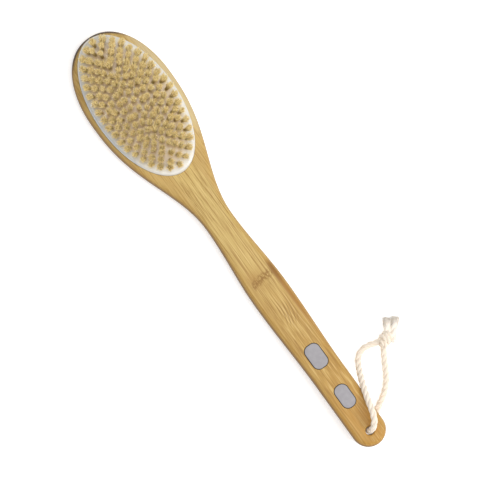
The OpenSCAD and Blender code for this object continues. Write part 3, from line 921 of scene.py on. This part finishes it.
class DRYBRUSH_OT_stage(Operator):
    """Lay the floor, hang the lights and set up the camera"""
    bl_idname = "dry_brush.stage"
    bl_label = "Stage"

    def execute(self, context):
        s = settings().stage
        scene = context.scene
        scene.view_settings.view_transform = "Standard"
        scene.view_settings.look = "None"
        # Floor: a flat grid 6 m wide, just under the table's level, with a soft cloudy tint
        rows = 9
        x, y = np.meshgrid(*[np.linspace(-3, 3, rows)] * 2)
        points = np.stack([x, y, 0 * x - 0.1 * MM], -1).reshape(-1, 3)
        i = (np.arange(rows - 1) * rows)[:, None] + np.arange(rows - 1)
        quads = np.stack([i, i + 1, i + rows + 1, i + rows], -1).reshape(-1, 4)
        floor = put_object("Floor", put_mesh("Floor", points, quads))
        p = Paint("Pale floor")
        cloud = p.noise(p.place()[0], 3.0, 2.0)
        floor.data.materials.append(p.set(
            Base_Color=p.mix(s.floor, (0.95, 0.95, 0.95), cloud), Roughness=0.9,
            Specular_IOR_Level=0.1, Emission_Color=(1, 1, 1), Emission_Strength=0.42))
        # Lights: a key from the handle's +Y side, and a broad soft light overhead
        for name, place, size, power in (
                ("Key light", (0.95, 0.75, 1.05), 0.55, s.key),
                ("Overhead light", (0.25, 0.25, 2.0), 1.5, s.overhead)):
            light = put_object(name, bpy.data.lights.new(name, "AREA"))
            light.data.shape, light.data.size, light.data.energy = "DISK", size, power
            light.location = place
            light.rotation_euler = (-Vector(place)).to_track_quat("-Z", "Y").to_euler()
        world = scene.world or bpy.data.worlds.new("Soft room")
        scene.world = world
        world.use_nodes = True
        white, strength = world.node_tree.nodes["Background"].inputs[:2]
        white.default_value, strength.default_value = (1, 1, 1, 1), s.sky
        # Camera: above the brush, tilted about its length and rolled
        tilt, roll = s.tilt, s.roll
        look = Vector((0, math.sin(tilt), -math.cos(tilt)))
        flat, raised = Vector((1, 0, 0)), Vector((0, math.cos(tilt), math.sin(tilt)))
        right = flat * math.cos(roll) + raised * math.sin(roll)
        up = raised * math.cos(roll) - flat * math.sin(roll)
        aim = Vector((0, 0, 0.007)) + right * 0.00588 + up * 0.00054
        camera = put_object("Camera", bpy.data.cameras.new("Camera"))
        camera.data.lens = s.lens
        camera.matrix_world = Matrix.Translation(aim - look * s.distance) @ Matrix(
            (right, up, -look)).transposed().to_4x4()
        scene.camera = camera
        return {"FINISHED"}


class DRYBRUSH_OT_cord(Operator):
    """Twist the hanging cord, its knot and its two loose ends"""
    bl_idname = "dry_brush.cord"
    bl_label = "Hanging cord"

    def execute(self, context):
        c = settings().cord
        rng = np.random.default_rng(11)
        cotton, fluff = cotton_finish(), cotton_finish("Frayed cotton", 0.5)
        pieces = [put_piece("tied_knot", knot_mesh(rng), cotton, "hang_loop",
                            "cord_knot")]
        for name, ends, bow, node in (
                ("frayed_end_inner", TAIL_INNER, 0.5, "cord_tail_inner"),
                ("frayed_end_outer", TAIL_OUTER, -0.5, "cord_tail_outer")):
            pieces.append(put_piece(name, tail_mesh(name, ends, bow, rng), fluff, "hang_loop",
                                    node))
        line, run = smooth_line(at_hole(CORD_ROUTE), 0.6 * MM)
        mesh = join_parts("twisted_cord", [twisted(line, run, c.thickness, c.lay),
                                           fuzz(line, run, c.thickness, rng, 420)])
        loop = put_piece("twisted_cord", mesh, cotton, "hang_loop", "hang_cord")
        return {"FINISHED"}


class DRYBRUSH_OT_board(Operator):
    """Shape the bamboo board and cut its recess, its pockets and the hang hole"""
    bl_idname = "dry_brush.board"
    bl_label = "Bamboo board"

    def execute(self, context):
        shape = BoardShape()
        b, pad, grip = shape.b, settings().pad, settings().insert
        board = put_object("board_blank", board_blank(shape))
        a, c, middle, _ = pad_ovals()
        angle = TURN * np.arange(240) / 240
        oval = oval_ring(a + pad.gap, c + pad.gap, 0, angle) + (middle, 0)
        seat = b.head_thickness - pad.seat_depth
        over = 4 * MM
        cuts = [self.prism(oval, seat, b.head_thickness + over)]
        for low, high in ((UPPER_LOW, UPPER_HIGH), (LOWER_LOW, LOWER_HIGH)):
            size_x, size_y, x = insert_size(low, high, shape)
            line = plate_ring(size_x + 2 * grip.gap, size_y + 2 * grip.gap,
                              grip.corner + grip.gap, 0)
            cuts.append(self.prism(line, -grip.depth, over, on_handle(shape, x)))
        low, high = float(shape.under(shape.hole)), float(shape.top(shape.hole))
        r, m = b.hole_width / 2, b.hole_mouth
        t, angle = quarter(7), TURN * np.arange(96) / 96
        circle = np.stack([np.cos(angle), np.sin(angle)], -1)
        flare = r + m * (1 - np.sin(t))
        rise = m * (1 - np.cos(t))
        radii = [r + m, *flare, *flare[::-1], r + m]
        heights = [low - over, *(low + rise), *(high - rise[::-1]), high + over]
        hole = stacked([(circle * radius, h) for radius, h in zip(radii, heights)])
        cuts.append(put_mesh("hole_cut", *closed(hole + (shape.hole, 0, 0))))
        tools = [put_object(mesh.name, mesh) for mesh in cuts]
        for tool in tools:
            cut = board.modifiers.new(tool.name, "BOOLEAN")
            cut.object, cut.operation, cut.solver = tool, "DIFFERENCE", "EXACT"
        graph = context.evaluated_depsgraph_get()
        mesh = bpy.data.meshes.new_from_object(board.evaluated_get(graph))
        for done in (*tools, board):
            bpy.data.objects.remove(done)
        fewest_faces = 1000
        if len(mesh.polygons) < fewest_faces:
            raise RuntimeError("the board's cuts failed")
        mesh.name = "carved_board"
        mesh.polygons.foreach_set("use_smooth", np.ones(len(mesh.polygons), bool))
        mesh.set_sharp_from_angle(angle=math.radians(34))
        points = np.empty((len(mesh.vertices), 3))
        mesh.vertices.foreach_get("co", points.ravel())
        # Depth below the top face, which the bamboo's finish turns into painted shade on edges and
        # cuts
        paint_points(mesh, "below_face", (shape.top(points[:, 0]) - points[:, 2]) / MM)
        put_piece("carved_board", mesh, bamboo_finish(), "brush", "bamboo_board")
        return {"FINISHED"}

    def prism(self, line, low, high, place=Matrix()):
        """An upright prism on a closed outline, moved to its place."""
        mesh = put_mesh("cut", *closed(stacked([(line, low), (line, high)])))
        mesh.transform(place)
        return mesh


def on_handle(shape, x):
    """Place on the handle's top face at x, level with it."""
    return Matrix.Translation((x, 0, float(shape.top(x)))) @ Matrix.Rotation(
        shape.slope(x), 4, "Y")


def insert_size(low, high, shape):
    """Length, width and middle of an insert from its box, whose corners lean with the
    handle's slope."""
    grip = settings().insert
    x = (low.x + high.x) / 2
    lean = shape.slope(x)
    tall = grip.depth + grip.proud
    size = ((high.x - low.x) - tall * abs(math.sin(lean))) / math.cos(lean)
    x -= (grip.proud - tall / 2) * math.sin(lean)
    return size, high.y - low.y, x


class DRYBRUSH_OT_pad(Operator):
    """Mould the oval pad, with a dimple round each tuft"""
    bl_idname = "dry_brush.pad"
    bl_label = "Bristle pad"

    def execute(self, context):
        s = settings().pad
        a, b, middle, top = pad_ovals()
        angle = TURN * np.arange(PAD_SIDES) / PAD_SIDES
        chamfer, dimple_width = 0.3 * MM, 1.25 * MM
        rows = [(oval_ring(a, b, chamfer, angle), PAD_LOW.z),
                (oval_ring(a, b, 0, angle), PAD_LOW.z + chamfer)]
        rows += [(oval_ring(a, b, s.edge_round * (1 - math.cos(q)), angle),
                  top - s.edge_round * (1 - math.sin(q))) for q in quarter(8)]
        edge_rows = len(rows) - 1
        rows += [(rows[-1][0] * f, top) for f in np.linspace(1, 0.012, 84)[1:]]
        rings = stacked(rows) + (middle, 0, 0)
        # Dimples: a bell-shaped dip about each tuft on the face
        spots = np.concatenate(tuft_places())[:, :2]
        flat = rings[edge_rows:].reshape(-1, 3)
        near = np.min(np.sum((flat[:, None, :2] - spots[None]) ** 2, -1), 1)
        bell = np.exp(-near / dimple_width ** 2)
        flat[:, 2] -= s.dimple * bell
        points, *faces = closed(rings, high=(middle, 0, top - s.dimple))
        mesh = put_mesh("moulded_pad", points, *faces)
        # The dimples' bell, which the pad's finish turns into painted shade round each tuft's root
        paint_points(mesh, "near_tuft", [*np.zeros(edge_rows * PAD_SIDES), *bell, 0, 0])
        # 0 at the pad's edge and 1 from the second ring inwards, where the pad's finish lays a
        # painted warm bounce of light from the bristles
        t = settings().tuft
        edge = np.hypot((points[:, 0] - middle) / a, points[:, 1] / b)
        paint_points(mesh, "among_tufts", np.clip((1 - edge) * b / (t.inset * 0.8) - 0.25, 0, 1))
        put_piece("moulded_pad", mesh, pad_finish(), "brush", "bristle_pad")
        return {"FINISHED"}


# Turn from one seed to the next in a sunflower's spiral
SUNFLOWER_TURN = 2.39996


class DRYBRUSH_OT_tufts(Operator):
    """Set the bristle tufts, ring by ring"""
    bl_idname = "dry_brush.tufts"
    bl_label = "Bristle tufts"

    def execute(self, context):
        finish = bristle_finish()
        rng = np.random.default_rng(5)
        rows = [f"ring_{k + 1}" for k in range(settings().tuft.rings)]
        for row, places in zip([*rows, "centre_row"], tuft_places()):
            mesh = self.ring("bristles_" + row, places, rng)
            put_piece(mesh.name, mesh, finish, "brush", "tufts_" + row)
        return {"FINISHED"}

    def ring(self, label, places, rng):
        """Bristles of one ring. A bristle leaves the root disc at a point of a sunflower
        spiral and fans out to the tip disc with the height to the power 1.3, with a
        random curl that grows with its square. Its section is three-sided and tapers."""
        t = settings().tuft
        n, count = t.bristles, len(places)
        level, sides = np.array([-0.03, 0.30, 0.68, 1.0]), 3
        lean_jitter, spin_jitter, spread_jitter, curl_size = math.radians(2.4), 0.2, 0.1, 0.34 * MM
        stray_share, stray_spread, uneven, tuft_uneven, taper = 0.05, 1.4, 0.07, 0.02, 0.12
        lean = places[:, 3] + rng.normal(0, lean_jitter, count)
        turn = places[:, 2]
        z = np.stack([np.sin(lean) * np.cos(turn), np.sin(lean) * np.sin(turn), np.cos(lean)], -1)
        x = np.stack([np.cos(lean) * np.cos(turn), np.cos(lean) * np.sin(turn), -np.sin(lean)], -1)
        y = np.cross(z, x)
        j = np.arange(n)
        spin = SUNFLOWER_TURN * j + rng.uniform(0, TURN, (count, 1)) \
            + rng.normal(0, spin_jitter, (count, n))
        far = np.sqrt((j + 0.5) / n)
        near_r = (t.root - t.thickness) / 2 * far
        tip_r = (t.spread - t.thickness) / 2 * far * rng.normal(1, spread_jitter, (count, n)) \
            * rng.normal(1, spread_jitter, (count, 1)) \
            * np.where(rng.uniform(0, 1, (count, n)) < stray_share, stray_spread, 1)
        tall = t.height * (1 - uneven * rng.uniform(0, 1, (count, n)) ** 2
                           - tuft_uneven * rng.uniform(0, 1, (count, 1)))
        up = level[None, None]
        r = near_r[None, :, None] + (tip_r - near_r[None])[..., None] * np.maximum(up, 0) ** 1.3
        curl = rng.normal(0, curl_size, (count, n, 2))
        px = r * np.cos(spin)[..., None] + curl[..., :1] * up ** 2
        py = r * np.sin(spin)[..., None] + curl[..., 1:] * up ** 2
        pz = tall[..., None] * up
        root = np.column_stack([places[:, :2], np.full(count, PAD_HIGH.z)])
        middle = root[:, None, None] + x[:, None, None] * px[..., None] \
            + y[:, None, None] * py[..., None] + z[:, None, None] * pz[..., None]
        a = TURN * np.arange(sides)[None, None] / sides + spin[..., None]
        thick = t.thickness / 2 * (1 - taper * np.maximum(level, 0))[None, None, :, None, None]
        rings = middle[..., None, :] + thick * (
            x[:, None, None, None] * np.cos(a)[:, :, None, :, None]
            + y[:, None, None, None] * np.sin(a)[:, :, None, :, None])
        tips = middle[:, :, -1] + z[:, None] * 0.12 * MM
        rings = rings.reshape(count * n, len(level), sides, 3)
        mesh = put_mesh(label, *tubes(rings, middle[:, :, 0].reshape(-1, 3), tips.reshape(-1, 3)))
        own = rng.uniform(0, 1, count * n)
        paint_points(mesh, "bristle_tone", [*np.repeat(own, len(level) * sides), *own, *own])
        rise = np.tile(np.repeat(np.maximum(level, 0), sides), count * n)
        paint_points(mesh, "bristle_rise", [*rise, *np.zeros(count * n), *np.ones(count * n)])
        return mesh


class DRYBRUSH_OT_inserts(Operator):
    """Mould the two soft grip inserts"""
    bl_idname = "dry_brush.inserts"
    bl_label = "Grip inserts"

    def execute(self, context):
        shape = BoardShape()
        s = settings().insert
        finish = grip_finish()
        chamfer, crown = 0.2 * MM, 0.18 * MM
        for name, low, high, node in (
                ("soft_grip_upper", UPPER_LOW, UPPER_HIGH, "upper_grip_insert"),
                ("soft_grip_lower", LOWER_LOW, LOWER_HIGH, "lower_grip_insert")):
            size_x, size_y, x = insert_size(low, high, shape)
            # Rows: base, wall, rounded edge, then a slightly crowned face
            q = quarter(7)
            shares = np.linspace(1, 0.02, 18)[1:]
            rows = [(chamfer, 1, -s.depth), (0, 1, chamfer - s.depth)]
            rows += [(s.edge * (1 - math.cos(a)), 1, s.proud - s.edge * (1 - math.sin(a)))
                     for a in q]
            rows += [(s.edge, f, s.proud + crown * (1 - f * f)) for f in shares]
            rings = stacked([(plate_ring(size_x, size_y, s.corner, move) * f, h)
                             for move, f, h in rows])
            mesh = put_mesh(name, *closed(rings, high=(0, 0, s.proud + crown)))
            # 1 on the wall, falling to 0 across the rounded edge; the grip's finish lays painted
            # shade by it
            wall = [1, 1, *(1 - q / q[-1]), *(0 * shares)]
            paint_points(mesh, "rim", [*np.repeat(wall, PLATE_SIDES), 1, 0])
            mesh.transform(on_handle(shape, x))
            put_piece(name, mesh, finish, "brush", node)
        return {"FINISHED"}


class DRYBRUSH_OT_staples(Operator):
    """Give the wire staples their steel"""
    bl_idname = "dry_brush.staples"
    bl_label = "Staples"

    def execute(self, context):
        steel = steel_finish()
        for name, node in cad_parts.items():
            if name.startswith("staples"):
                node.data.materials.clear()
                node.data.materials.append(steel)
        return {"FINISHED"}


class DRYBRUSH_PT_panel(Panel):
    """Lists the brush's pieces and settings"""
    bl_idname = "DRYBRUSH_PT_panel"
    bl_label = "Dry brush"
    bl_space_type = "VIEW_3D"
    bl_region_type = "UI"
    bl_category = "Dry brush"

    def draw(self, context):
        for operator in OPERATORS:
            self.layout.operator(operator.bl_idname)
        for group in context.scene.dry_brush.bl_rna.properties.keys():
            held = getattr(context.scene.dry_brush, group)
            if isinstance(held, PropertyGroup):
                box = self.layout.box()
                for key in held.__annotations__:
                    box.prop(held, key)


GROUPS = (BoardSettings, PadSettings, TuftSettings, InsertSettings, CordSettings, FinishSettings,
          StageSettings, DryBrushSettings)
OPERATORS = (DRYBRUSH_OT_stage, DRYBRUSH_OT_cord, DRYBRUSH_OT_board, DRYBRUSH_OT_pad,
             DRYBRUSH_OT_tufts, DRYBRUSH_OT_inserts, DRYBRUSH_OT_staples)


def register():
    for cls in (*GROUPS, *OPERATORS, DRYBRUSH_PT_panel):
        bpy.utils.register_class(cls)
    bpy.types.Scene.dry_brush = PointerProperty(type=DryBrushSettings)


def unregister():
    del bpy.types.Scene.dry_brush
    for cls in reversed((*GROUPS, *OPERATORS, DRYBRUSH_PT_panel)):
        bpy.utils.unregister_class(cls)


def main():
    register()
    for step in ("stage", "cord", "board", "pad", "tufts", "inserts", "staples"):
        getattr(bpy.ops.dry_brush, step)()


if __name__ == "__main__":
    main()
